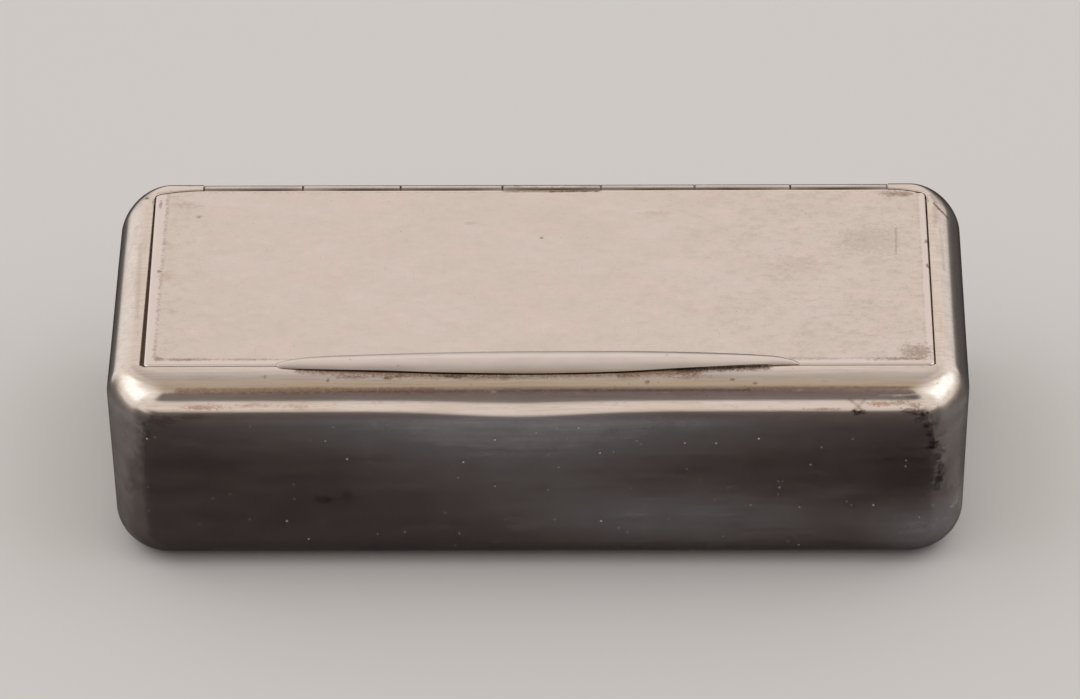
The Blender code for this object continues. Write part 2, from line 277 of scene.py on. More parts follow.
def unevenness(point, outward, tilt):
    """The wall's slight waves, and the belly in the middle of its front, along the outward direction."""
    fade = soft_step(math.sin(tilt), *wave_tilts)
    wave = noise.noise(Vector(point) / wave_length) * wave_height
    across = math.exp(-(((point[0] - belly_x) / belly_half_width) ** 2))
    rise = soft_step(point[2], *belly_top_heights) * soft_step(point[2], *belly_foot_heights)
    belly = belly_height * across * rise * max(-outward.y, 0.0) ** belly_front_power
    return fade * wave + belly


def body_section(place):
    """The wall cut across: the lip, over the roll, down the wall and under, then back inside."""
    outward = Vector((place.side * place.across, place.end * place.forward, 0.0))
    outer = []
    for angle in quarter(lip_steps):
        offset = lip_radius * (1 - math.cos(angle))
        outer.append(place.opening_point(offset, body_height - lip_radius * (1 - math.sin(angle))))
    roll_start = place.wall_point(side_roll_radius, place.end_reach, body_height)
    lip_end = outer[-1]
    for share in spread(0.0, 1.0, rim_steps)[:-1]:
        outer.append(lip_end + (roll_start - lip_end) * share)
    for angle in quarter(front_roll_steps):
        lift = 1.0 - math.sin(angle)
        drop = 1.0 - math.cos(angle)
        z = body_height - place.drop * drop
        point = place.wall_point(side_roll_radius * lift, place.end_reach * lift, z)
        outer.append(point + outward * math.sin(angle) * unevenness(point, outward, angle))
    for share in spread(0.0, 1.0, wall_steps)[:-1]:
        z = (body_height - place.drop) * (1 - share) + base_roll_radius * share
        point = place.wall_point(wall_draft * share, wall_draft * share, z)
        outer.append(point + outward * unevenness(point, outward, math.pi / 2))
    for angle in quarter(base_steps):
        inset = wall_draft + base_roll_radius * (1.0 - math.cos(angle))
        point = place.wall_point(inset, inset, base_roll_radius * (1.0 - math.sin(angle)))
        outer.append(point + outward * math.cos(angle) * unevenness(point, outward, math.pi / 2))
    inner = []
    for angle in quarter(inner_steps):
        height = sheet + (base_roll_radius - sheet) * (1 - math.cos(angle))
        inset = wall_draft + sheet + (base_roll_radius - sheet) * (1 - math.sin(angle))
        inner.append(place.wall_point(inset, inset, height))
    side_centre = max(side_roll_radius, sheet + least_radius)
    end_centre = max(place.end_reach, sheet + least_radius)
    centre = max(place.drop, sheet + least_radius)
    for angle in quarter(inner_steps)[::-1]:
        inner.append(place.wall_point(
            side_centre - (side_centre - sheet) * math.sin(angle),
            end_centre - (end_centre - sheet) * math.sin(angle),
            body_height - sheet - (centre - sheet) * (1 - math.cos(angle)),
        ))
    inner.append(place.opening_point(0.0, body_height - sheet))
    return outer + inner


def make_body_skin(material):
    """The whole wall as one skin, cut down between the hinge's ends."""
    mesh = solid("body_skin", [body_section(place) for place in body_places()], caps=False)
    skin = add_piece("body_skin", mesh, material, "box_body", "wall_silver", "body_wall", "back_wall")
    low = axis_z - knuckle_radius - cradle_clearance
    high = body_height + cut_overrun
    back = body_depth / 2 + cut_overrun
    outline = ((seam_y, low), (back, low), (back, high), (seam_y, high))
    ends = (hinge_left - knuckle_gap, hinge_right + knuckle_gap)
    block = solid("hinge_cutter", [[(x, y, z) for y, z in outline] for x in ends])
    cutter = put("hinge_cutter", block)
    cut = skin.modifiers.new("hinge_cut", "BOOLEAN")
    cut.object = cutter
    cut.operation = "DIFFERENCE"
    cut.solver = "EXACT"
    shaped = skin.evaluated_get(bpy.context.evaluated_depsgraph_get())
    skin.data = bpy.data.meshes.new_from_object(shaped)
    skin.modifiers.clear()
    bpy.data.objects.remove(cutter, do_unlink=True)


# Lid skin
left_bevel = 0.00045
front_bevel = 0.00028
right_bevel = 0.00022
rear_bevel = 0.00008
bevel_drop = 0.00012
bevel_steps = 8
flat_ring = 0.00005
lid_corner_steps = 12
lid_rear_corner_steps = 6


def arc(centre_x, centre_y, radius, start, steps):
    """A quarter turn of plan points, from a starting angle."""
    angles = [start + turn for turn in quarter(steps)]
    return [(centre_x + radius * math.cos(a), centre_y + radius * math.sin(a)) for a in angles]


def lid_outline(share, undercut):
    """The lid's plan from its left front corner round to its left rear corner."""
    left_front = -opening_half + lid_left_front_gap + left_bevel * share + lid_corner_radius
    left_rear = -opening_half + lid_side_gap + left_bevel * share + lid_rear_corner_radius
    right = opening_half - lid_side_gap - right_bevel * share
    right_front = right - lid_corner_radius
    right_rear = right - lid_rear_corner_radius
    front = lid_front + front_bevel * share + lid_corner_radius
    inset = undercut + rear_bevel * share
    points = arc(left_front, front, lid_corner_radius, math.pi, lid_corner_steps)
    points += arc(right_front, front, lid_corner_radius, math.pi * 1.5, lid_corner_steps)
    rear = lid_rear - setback(right_rear) - inset - lid_rear_corner_radius
    points += arc(right_rear, rear, lid_rear_corner_radius, 0.0, lid_rear_corner_steps)
    for x in spread(right_rear, hinge_right + knuckle_gap, setback_steps):
        points.append((x, lid_rear - setback(x) - inset))
    points.append((hinge_right, lid_rear - rear_bevel * share))
    points.append((hinge_left, lid_rear - rear_bevel * share))
    for x in spread(left_rear, hinge_left - knuckle_gap, setback_steps)[::-1]:
        points.append((x, lid_rear - setback(x) - inset))
    rear = lid_rear - setback(left_rear) - inset - lid_rear_corner_radius
    points += arc(left_rear, rear, lid_rear_corner_radius, math.pi / 2, lid_rear_corner_steps)
    return points


def make_lid_skin(material):
    """The lid, with its worn edges rounded over."""
    levels = [(lid_under, 0.0, lid_undercut)]
    for angle in quarter(bevel_steps):
        depth = bevel_drop * (1 - math.sin(angle))
        levels.append((lid_top - depth, 1 - math.cos(angle), lid_undercut * depth / lid_sheet))
    levels.append((lid_top, 1 + flat_ring / front_bevel, 0.0))
    sections = []
    for z, share, undercut in levels:
        sections.append([(x, y, z) for x, y in lid_outline(share, undercut)])
    mesh = solid("lid_skin", sections)
    add_piece("lid_skin", mesh, material, "lid", "lid_silver", "lid_plate")


# Thumbpiece skin
thumb_length = 0.0497
thumb_back = 0.0018
thumb_front = 0.0014
thumb_back_height = 0.00026
thumb_peak = 0.00042
thumb_steps = 84
thumb_cross_steps = 16
thumb_back_shares = (
    (0.0, 0.05), (0.018, 0.34), (0.066, 0.60), (0.147, 0.74), (0.32, 0.92), (0.5, 1.0),
    (0.69, 0.985), (0.84, 0.85), (0.95, 0.62), (0.986, 0.34), (1.0, 0.05),
)
thumb_front_shares = (
    (0.0, 0.04), (0.010, 0.34), (0.1, 0.60), (0.21, 0.74), (0.32, 0.92), (0.5, 1.0),
    (0.65, 0.87), (0.765, 0.60), (0.84, 0.42), (0.91, 0.22), (1.0, 0.03),
)
thumb_crown_shares = (
    (0.0, 0.0), (0.12, 0.55), (0.3, 1.0), (0.5, 0.95), (0.7, 0.76), (0.85, 0.46), (1.0, 0.0),
)
thumb_lift = 0.00002
thumb_edge = 0.00022
thumb_edge_shares = (
    (0.0, 0.12), (0.06, 0.50), (0.15, 0.66), (0.30, 0.42), (0.5, 0.13), (0.65, 0.40), (0.8, 0.95),
    (0.92, 0.90), (1.0, 0.12),
)


def thumb_cut(k):
    """One cut across the thumbpiece: its share of the length, its x and how full it is behind."""
    share = 0.5 - 0.5 * math.cos(math.pi * k / thumb_steps)
    return share, thumb_length * (share - 0.5), min(read_table(thumb_back_shares, share), 1.0)


def make_thumb_skin(material):
    """The slender lens that lifts the lid, steeper at its nose than behind."""
    sections = []
    for k in range(thumb_steps + 1):
        share, x, fullness = thumb_cut(k)
        back = lid_front + thumb_back * fullness
        front = lid_front - thumb_front * read_table(thumb_front_shares, share)
        base = thumb_back_height * fullness
        peak = (thumb_peak - thumb_back_height) * fullness
        edge = thumb_edge * read_table(thumb_edge_shares, share)
        section = [(x, back, lid_top)]
        for step in range(thumb_cross_steps + 1):
            along = step / thumb_cross_steps
            crown = read_table(thumb_crown_shares, along)
            rise = base + peak * crown + (thumb_lift + edge - base) * along**3
            section.append((x, back + (front - back) * along, lid_top + rise))
        section.append((x, front, lid_top + thumb_lift))
        section.append((x, lid_front, lid_top + thumb_lift))
        section.append((x, lid_front, lid_top))
        sections.append(section)
    mesh = solid("thumb_skin", sections)
    add_piece("thumb_skin", mesh, material, "lid", "thumb_silver", "thumbpiece")


# Dark strip along the thumbpiece's back edge: painted shade in the crease where it meets the lid
crease_width = 0.00021
crease_height = 0.00003
crease_top = lid_top + crease_height
crease_first_cut = 2


def make_thumb_crease(material):
    """A fine dark line along the thumbpiece's back edge."""
    sections = []
    for k in range(crease_first_cut, thumb_steps + 1 - crease_first_cut):
        x, fullness = thumb_cut(k)[1:]
        near = lid_front + thumb_back * fullness - crease_width / 2
        far = near + crease_width
        corners = ((near, lid_top), (far, lid_top), (far - crease_height, crease_top), (near, crease_top))
        sections.append([(x, y, z) for y, z in corners])
    mesh = solid("thumb_crease", sections)
    mesh.materials.append(material)
    crease = put("thumb_crease", mesh)
    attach(crease, "lid")


# Hinge
barrel_sides = 48
knuckle_round = 0.00006
knuckle_seen_gap = 0.00002
knuckle_round_steps = 3


def circle(radius, x):
    """Points round the hinge's axis."""
    points = []
    for k in range(barrel_sides):
        angle = 2 * math.pi * k / barrel_sides
        points.append((x, axis_y + radius * math.cos(angle), axis_z + radius * math.sin(angle)))
    return points


def make_knuckles(material):
    """The seven tubes of the barrel, with their ends rounded over."""
    angles = quarter(knuckle_round_steps)
    for number in range(1, len(knuckle_joints)):
        start = knuckle_joints[number - 1] + knuckle_seen_gap / 2
        end = knuckle_joints[number] - knuckle_seen_gap / 2
        sections = []
        for x, reach, turns in ((start, knuckle_round, angles), (end, -knuckle_round, angles[::-1])):
            for angle in turns:
                radius = knuckle_radius - knuckle_round * (1 - math.sin(angle))
                sections.append(circle(radius, x + reach * (1 - math.cos(angle))))
        sections += [circle(pin_bore, end), circle(pin_bore, start)]
        owner, body = ("lid", "lid") if number % 2 == 0 else ("body", "box_body")
        name = f"knuckle_{number}_{owner}"
        mesh = solid(f"hinge_tube_{number}", sections, caps=False)
        add_piece(f"hinge_tube_{number}", mesh, material, body, "hinge_silver", name)


# Materials
class Value:
    """A number, place or colour in a graph. Numbers add, subtract and multiply as usual."""

    def __init__(self, graph, socket):
        self.graph = graph
        self.socket = socket

    def __add__(self, other):
        return self.graph.math("ADD", self, other)

    def __sub__(self, other):
        return self.graph.math("SUBTRACT", self, other)

    def __rsub__(self, other):
        return self.graph.math("SUBTRACT", other, self)

    def __mul__(self, other):
        return self.graph.math("MULTIPLY", self, other)

    def __abs__(self):
        return self.graph.math("ABSOLUTE", self)

    def at_least(self, other):
        """The larger of two."""
        return self.graph.math("MAXIMUM", self, other)

    def rise(self, low, high):
        """0 below low, 1 above high and smooth between. A falling one has low above high."""
        limits = (low, high, 0, 1) if low < high else (high, low, 1, 0)
        return self.graph.make("ShaderNodeMapRange", self, *limits, interpolation_type="SMOOTHSTEP")

    def past(self, edge, offsets):
        """A rise between two offsets, in millimetres, from an edge that is given in metres."""
        return self.rise(edge / mm + offsets[0], edge / mm + offsets[1])

    def output(self, name):
        """Another output of the same node."""
        return Value(self.graph, self.socket.node.outputs[name])


class Graph:
    """A short way to write nodes. Places are in millimetres in the model's own frame."""

    def __init__(self, owner):
        owner.use_nodes = True
        self.owner = owner
        self.tree = owner.node_tree
        self.tree.nodes.clear()

    def feed(self, socket, value):
        """Link or set a socket."""
        if isinstance(value, Value):
            self.tree.links.new(value.socket, socket)
        elif socket.type == "RGBA":
            socket.default_value = (*value, 1.0)
        else:
            socket.default_value = value

    def make(self, kind, *values, also=None, output=0, **settings):
        """One output of a new node, with values for its inputs in order, and for others by name."""
        made = self.tree.nodes.new(kind)
        for name, setting in settings.items():
            setattr(made, name, setting)
        for name, value in (*enumerate(values), *(also or {}).items()):
            self.feed(made.inputs[name], value)
        return Value(self, made.outputs[output])

    def finish(self, kind, surface):
        """The node that ends the graph."""
        self.feed(self.tree.nodes.new(kind).inputs["Surface"], surface)

    def math(self, operation, *values, clamp=False):
        """One Math node."""
        return self.make("ShaderNodeMath", *values, operation=operation, use_clamp=clamp)

    def vector(self, operation, *values, **others):
        """One Vector Math node."""
        return self.make("ShaderNodeVectorMath", *values, operation=operation, **others)

    def split(self, vector):
        """A vector's parts along each axis."""
        parts = self.make("ShaderNodeSeparateXYZ", vector)
        return [parts.output(axis) for axis in "XYZ"]

    def mix(self, share, first, second):
        """A blend of two colours."""
        return self.make("ShaderNodeMix", share, also={6: first, 7: second}, output=2, data_type="RGBA")

    def coat(self, base, coats):
        """Lay coats over a colour: (share, strength, colour)."""
        for share, strength, colour in coats:
            base = self.mix(share * strength, base, colour)
        return base

    def noise(self, scale, detail, roughness, seed, stretch=None):
        """Smooth noise from 0 to 1, with a seed that moves it and a factor for its place along each axis."""
        place = self.vector("MULTIPLY", self.place, stretch) if stretch else self.place
        look = {"Vector": place, "W": seed, "Scale": scale, "Detail": detail, "Roughness": roughness}
        return self.make("ShaderNodeTexNoise", also=look, noise_dimensions="4D")

    def specks(self, scale, size, share, seed):
        """Small round spots in a share of the cells, each of its own size."""
        moved = self.vector("ADD", self.place, (seed, 3 * seed, 7 * seed))
        look = {"Vector": moved, "Scale": scale}
        cells = self.make("ShaderNodeTexVoronoi", also=look, output="Distance", voronoi_dimensions="3D")
        pick = self.make("ShaderNodeSeparateColor", cells.output("Color"))
        return (pick.rise(1 - share, 1) * size - cells).rise(0, size * speck_edge_share)

    def mark(self, centre, reach, ragged, edge=0.8):
        """A soft spot round a place. A reach of zero doesn't limit it along that axis."""
        away = self.vector("SUBTRACT", self.place, centre)
        scaled = self.vector("MULTIPLY", away, [1 / size if size else 0 for size in reach])
        return (self.vector("LENGTH", scaled, output="Value") + ragged).rise(1, 1 - edge)

    def line(self, start, end, width, ragged):
        """A soft stroke between two places."""
        run = [last - first for first, last in zip(start, end)]
        away = self.vector("SUBTRACT", self.place, start)
        scaled = [part / sum(r * r for r in run) for part in run]
        along = self.vector("DOT_PRODUCT", away, scaled, output="Value")
        back = self.vector("SCALE", run, also={"Scale": self.math("ADD", along, 0, clamp=True)})
        gap = self.vector("DISTANCE", away, back, output="Value")
        return (gap + ragged * (width / 2)).rise(width, width * line_core_share)

    def bump(self, height, depth, also=None):
        """A bump of this many metres for a height from 0 to 1."""
        look = {"Strength": 1, "Distance": depth, "Height": height, **(also or {})}
        return self.make("ShaderNodeBump", also=look)

    def surface(self, colour, metallic, roughness, normal):
        """Finish the material."""
        look = {"Base Color": colour, "Metallic": metallic, "Roughness": roughness, "Normal": normal}
        shader = self.make("ShaderNodeBsdfPrincipled", also=look)
        self.finish("ShaderNodeOutputMaterial", shader)
        return self.owner


def new_graph(name):
    """A material's graph with its millimetre coordinates."""
    graph = Graph(bpy.data.materials.new(name))
    place = graph.make("ShaderNodeTexCoord", output="Object")
    graph.place = graph.vector("SCALE", place, also={"Scale": 1 / mm})
    graph.x, graph.y, graph.z = graph.split(graph.place)
    return graph


# How much of a speck's size is its soft edge, and how much of a stroke's width is full
speck_edge_share = 0.35
line_core_share = 0.05

silver = (0.74, 0.675, 0.61)
clean_silver = (0.79, 0.725, 0.675)
dull_silver = (0.69, 0.61, 0.53)
lid_dull_silver = (0.71, 0.64, 0.565)
lid_warm_silver = (0.78, 0.665, 0.61)
hinge_silver = (0.72, 0.66, 0.6)
inner_silver = (0.7, 0.63, 0.55)
inner_dull_silver = (0.6, 0.53, 0.45)
plain_inner_silver = (0.66, 0.58, 0.49)
strip_silver = (0.62, 0.54, 0.45)
pin_grey = (0.45, 0.43, 0.41)
brown = (0.26, 0.165, 0.1)
red = (0.43, 0.255, 0.175)
grey = (0.4, 0.36, 0.3)
black = (0.06, 0.042, 0.034)
umber = (0.115, 0.08, 0.058)
line_red = (0.4, 0.26, 0.2)
line_brown = (0.36, 0.27, 0.23)
rust_brown = (0.46, 0.34, 0.26)
flush_red = (0.55, 0.43, 0.41)
stain_brown = (0.46, 0.37, 0.28)
slot_brown = (0.42, 0.31, 0.24)
crease_brown = (0.37, 0.315, 0.27)
dust_pale = (0.72, 0.7, 0.66)
film_and_sheen_blue = (0.52, 0.5, 0.52)
haze_grey = (0.6, 0.555, 0.515)

# Height in metres of each bump in the surface
wall_scratch_height = 0.0000014
fine_scratch_height = 0.000001
lid_pit_height = 0.00002


def paint_marks(graph, base, marks):
    """Lay marks over a colour: (place, reach, strength, colour) or (start, end, width, strength, colour)."""
    ragged = graph.noise(3.4, 5, 0.72, 4, (0.7, 1.1, 1.1)) * 3 - 1.5
    broken = graph.noise(9, 3, 0.6, 15).rise(0.34, 0.6) * 0.75 + 0.5
    for start, end, *width, strength, colour in marks:
        spot = graph.line(start, end, *width, ragged) if width else graph.mark(start, end, ragged)
        base = graph.mix(graph.math("MULTIPLY", spot * broken, strength, clamp=True), base, colour)
    return base


def inner_colour(graph, fine):
    """The duller silver of the inside, with clouds, stains and a few spots."""
    cloud = graph.noise(0.2, 4, 0.6, 31, (0.6, 1, 1)).rise(0.35, 0.7)
    stain = graph.noise(0.16, 5, 0.65, 37).rise(0.56, 0.7)
    return graph.coat(graph.mix(cloud, inner_silver, inner_dull_silver), (
        (stain, 0.45, stain_brown),
        (fine.rise(0.54, 0.72), 0.25, grey),
        (graph.specks(1.3, 0.16, 0.16, 41), 0.55, brown),
    ))


def plain_silver(name, colour, roughness, wear, crevice=None):
    """Silver with faint clouds, fine scratches, a few tarnish spots and umber over a crevice mask, if given:
    dirt and tarnish, with painted shade on the thumbpiece's front and the barrel's foot.
    """
    graph = new_graph(name)
    cloud = graph.noise(0.45, 4, 0.6, 3.1, (0.6, 1, 1)).rise(0.35, 0.7)
    fine = graph.noise(5, 3, 0.6, 8.4)
    base = graph.mix(cloud, colour, [part * (1 - 0.3 * wear) for part in colour])
    base = graph.mix(graph.specks(1.1, 0.16, 0.22, 5) * wear, base, brown)
    # Umber over the crevice mask: dirt and tarnish, with painted shade on the thumbpiece's front and the
    # barrel's foot
    if crevice is not None:
        base = graph.mix(crevice(graph, fine), base, umber)
    scratch = graph.noise(3, 2, 0.6, 1.7, (0.8, 14, 14))
    rough = fine * 0.12 + (roughness - 0.06)
    return graph.surface(base, 1, rough, graph.bump(scratch, fine_scratch_height))


# Where the thumbpiece's, barrel's and ledge's looks change, in millimetres from their edges or middle
tarnish_and_shade_offsets = (-0.47, -1.47)
tip_tarnish_and_shade_offsets = (0.28, -0.62)
tip_distances = (4, 16)
thumb_face_offsets = (0.3, 0.05)
barrel_foot_offsets = (-0.17, -0.27)
joint_distances = (0.13, 0.07)
solder_fade = 0.05
ledge_front_offsets = (0.5, 0.35)
ledge_side_offsets = (-0.75, -0.6)


def thumb_tarnish_and_shade(graph, fine):
    """The darker, yellower front of the thumbpiece: tarnish, with painted shade that grows down its front
    face.
    """
    toward_tip = abs(graph.x).rise(*tip_distances) * graph.y.past(lid_front, tip_tarnish_and_shade_offsets)
    share = graph.y.past(lid_front, tarnish_and_shade_offsets).at_least(toward_tip)
    face = graph.z.past(lid_top, thumb_face_offsets)
    return share * (face * 0.35 + 0.15) * (fine * 0.8 + 0.6)


def barrel_crevice(graph, fine):
    """Darkening low on the barrel's front, where it meets the lid: dirt with painted shade. Dirt at each
    joint, and solder on the middle knuckle.
    """
    patchy = graph.noise(0.35, 3, 0.5, 9, (0.5, 1, 1))
    # Painted shade and dirt along the barrel's foot, next to the lid's rear edge
    dirt_and_shade = (graph.y + (fine * 0.16 - 0.08)).past(axis_y, barrel_foot_offsets)
    dirt_and_shade = dirt_and_shade * graph.math("MULTIPLY_ADD", patchy, 0.9, 0.35, clamp=True)
    joints = [joint / mm for joint in knuckle_joints]
    for joint in joints:
        dirt_and_shade = dirt_and_shade.at_least(abs(graph.x - joint).rise(*joint_distances))
    middle = (joints[3] + joints[4]) / 2
    reach = (joints[4] - joints[3]) / 2
    within = abs(graph.x - middle).rise(reach, reach - solder_fade)
    solder = graph.noise(1.2, 4, 0.7, 17, (0.8, 3, 3)).rise(0.44, 0.6) * within
    return dirt_and_shade.at_least(solder * 0.5)


def ledge_crevice(graph, fine):
    """Darker on what shows through the gap round the lid."""
    ahead = graph.y.past(opening_front, ledge_front_offsets)
    return abs(graph.x).past(opening_half, ledge_side_offsets).at_least(ahead)


# Marks on the wall, in millimetres: spots, (place, reach, strength, colour), and strokes,
# (start, end, width, strength, colour)
wall_marks = (
    ((-38.75, 7.2, 20.5), (-38.4, -4.6, 20.5), 0.4, 0.34, grey),
    ((-38.54, 14.96, 20.4), (0.34, 0.26, 0), 0.9, black),
    ((-38.9, 15.2, 20.4), (1, 0.45, 0), 0.35, grey),
    ((38.42, 13.75, 20.5), (38.95, 12.85, 20.5), 0.24, 1, umber),
    ((38.85, 13.05, 20.5), (39.8, 11.9, 20.1), 0.2, 1, umber),
    ((38.55, 13.1, 20.6), (38.5, 10.6, 20.6), 0.42, 0.5, grey),
    ((38.2, 15, 20.6), (38.7, 13.9, 20.6), 0.3, 0.45, brown),
    ((38.9, 9.5, 20.4), (39.1, 3, 20.4), 0.26, 0.3, grey),
    # The next five strokes, along the thumbpiece's front edge, are the thumbpiece's painted shadow on the
    # rim, with some brown stain
    ((-22.5, -12.98, 20.5), (-13, -13.53, 20.5), 0.85, 0.95, brown),
    ((-13, -13.58, 20.5), (-3, -13.88, 20.5), 0.72, 0.85, brown),
    ((-3, -13.88, 20.5), (8, -13.68, 20.5), 0.62, 0.7, brown),
    ((8, -13.63, 20.5), (15, -13.25, 20.5), 0.85, 0.95, brown),
    ((13.5, -13.15, 20.5), (21.8, -12.66, 20.5), 0.72, 1, umber),
    ((-34, -15.42, 19.95), (-10, -15.38, 19.98), 0.44, 0.85, line_red),
    ((-10, -15.44, 19.94), (20, -15.42, 19.95), 0.3, 0.75, line_brown),
    ((20, -15.32, 20), (35, -15.28, 20.02), 0.34, 0.6, red),
    ((-14.2, -14.12, 20.4), (0.55, 0.36, 0), 0.8, brown),
    ((-17.6, -13.95, 20.5), (2.2, 0.34, 0), 0.6, brown),
    ((-19.8, -14.32, 20.4), (0.3, 0.34, 0), 0.7, brown),
    ((18.52, -14.32, 20.4), (0.38, 0.28, 0), 0.75, brown),
    ((14.6, -14, 20.4), (2.6, 0.4, 0), 0.45, brown),
    ((10.39, -14.64, 20.3), (0.32, 0.26, 0), 0.65, brown),
    ((20.59, -14.75, 20.3), (0.34, 0.26, 0), 0.65, brown),
    ((-7.87, -13.9, 20.5), (1.5, 0.36, 0), 0.8, umber),
    ((-25.8, -13.95, 20.4), (0.22, 0.45, 0), 0.6, red),
    ((-31.6, -16.62, 18.9), (2.8, 0.36, 0.38), 0.7, red),
    ((-27, -16.5, 19), (3.4, 0.26, 0.28), 0.5, red),
    ((-22.5, -16.55, 18.95), (2, 0.22, 0.24), 0.35, red),
    ((32.3, -16.52, 19.1), (1.5, 0.34, 0.34), 0.8, red),
    ((34.2, -16.4, 19.15), (1.2, 0.4, 0.4), 0.55, brown),
    ((35.6, -16.55, 19), (1, 0.4, 0.4), 0.55, brown),
    ((27, -16.9, 18.8), (2.4, 0.2, 0.22), 0.5, brown),
    ((29.5, -16.25, 19.4), (30.8, -16.95, 18.62), 0.26, 0.42, brown),
    ((30.95, -16.3, 19.35), (29.9, -16.9, 18.66), 0.28, 0.36, brown),
    ((30.3, -17.05, 18.5), (1, 0.4, 0.34), 0.95, black),
    ((35.58, -15.89, 19.65), (1.2, 0.5, 0.5), 0.55, grey),
    ((35.3, -17.15, 18.62), (1.6, 1.2, 0.42), 0.55, black),
    ((36.55, -17.2, 17.95), (0.9, 1.4, 0.8), 1, black),
    ((37, -17.2, 17.1), (0.75, 1.4, 0.8), 1, black),
    ((37.1, -17.2, 16), (0.55, 1.4, 0.8), 0.7, black),
    ((37.5, -17, 14.7), (0.85, 1.4, 1), 1, black),
    ((38.25, -16.9, 12.6), (0.75, 1.6, 1.9), 1, black),
    ((38.1, -16.9, 9.9), (0.7, 1.6, 1.5), 0.9, black),
    ((-35.6, -17.2, 17.8), (2.6, 1.4, 0.62), 0.42, black),
    ((-32.6, -17.4, 18.2), (2.2, 1.4, 0.4), 0.34, black),
    ((-37.2, -17.1, 16.2), (0.75, 1.4, 1.5), 0.42, black),
    ((35, -17.5, 11.6), (6, 1.6, 5), 0.3, black),
    ((-20.3, -17.6, 8.4), (1.3, 0, 0.6), 0.55, black),
    ((-18.2, -17.6, 8.9), (0.7, 0, 0.8), 0.35, black),
)

# Pale matt film on the wall, its patches placed to paint the sheen of the bright band's reflection below the
# roll and the lighter lower right of the front, in millimetres: (place, reach, strength)
film_and_sheen_patches = (
    ((-2, 0, 18.2), (58, 0, 8), 0.27),
    ((-1, 0, 13.6), (32, 0, 13), 0.14),
    ((13, 0, 6.2), (36, 0, 7.4), 0.18),
    ((37.5, 0, 4.6), (12, 0, 7), 0.22),
)

# Matt scuffs: (start, end, width, strength)
wall_scuffs = (
    ((32.3, -15.96, 19.71), (34.3, -15.9, 19.74), 0.15, 0.38),
    ((33.6, -16.02, 19.66), (36, -15.84, 19.72), 0.17, 0.42),
    ((34.9, -15.88, 19.78), (36.3, -15.74, 19.8), 0.13, 0.34),
    ((37.55, -17.2, 16.9), (37.75, -17.2, 15.6), 0.4, 0.22),
    ((37.75, -17.1, 14.6), (37.95, -17.1, 13.6), 0.4, 0.16),
    ((38.9, 9, 20.5), (39, 6, 20.5), 0.14, 0.25),
    ((10, -17.6, 15.6), (12.4, -17.6, 14.2), 0.09, 0.16),
    ((18.8, -17.6, 9.2), (20.2, -17.6, 7.4), 0.2, 0.16),
)


# Where the wall's looks change, in millimetres: heights from and to, then distances from the middle
roll_heights = (16.2, 18.8)
flush_heights = (17.8, 15.5)
film_heights = (18.7, 17.6)
dust_heights = (18, 17)
dull_heights = (17.6, 15)
haze_heights = (13, 17.5)
foot_heights = (5.5, 0.8)
side_distances = (37.4, 38.4)
haze_distances = (42.3, 44.5)

# The film that lies everywhere, how far the haze at both ends leans outward as it goes down, and how
# many millimetres it withdraws at the foot
least_film = 0.035
haze_lean = 0.2
haze_foot = 2.4

# Offsets in millimetres between which the slot's top, its foot and the rim's edges give way
slot_top_offsets = (-0.13, -0.24)
slot_foot_offsets = (0.002, 0.012)
rim_side_offsets = (0.04, 0.02)
rim_front_offsets = (-0.04, -0.02)
rim_rear_offsets = (0.12, 0.08)


def wall_film_and_sheen(graph, fine, ragged):
    """How much matt film, partly painted sheen, lies on the wall below the front roll, and how much haze at
    both ends.
    """
    streak = graph.noise(1.5, 3, 0.6, 7.7, (0.05, 1, 1))
    blotch = graph.noise(0.6, 5, 0.65, 11.2, (0.7, 1, 1))
    below = graph.z.rise(*film_heights)
    film_and_sheen = least_film
    for centre, reach, strength in film_and_sheen_patches:
        patch = graph.mark(centre, reach, 0, 1)
        film_and_sheen = patch * patch * strength + film_and_sheen
    film_and_sheen = film_and_sheen * ((streak * 0.9 + 0.55) * (blotch * 0.8 + 0.6)) * below
    aside = abs(graph.x) + ragged * 0.9 + blotch * 5 + graph.z * haze_lean
    aside = aside + graph.z.rise(*foot_heights) * haze_foot
    thick = graph.z.rise(*haze_heights) * 0.22 + 0.47
    return film_and_sheen, blotch * fine * thick * below * aside.rise(*haze_distances)


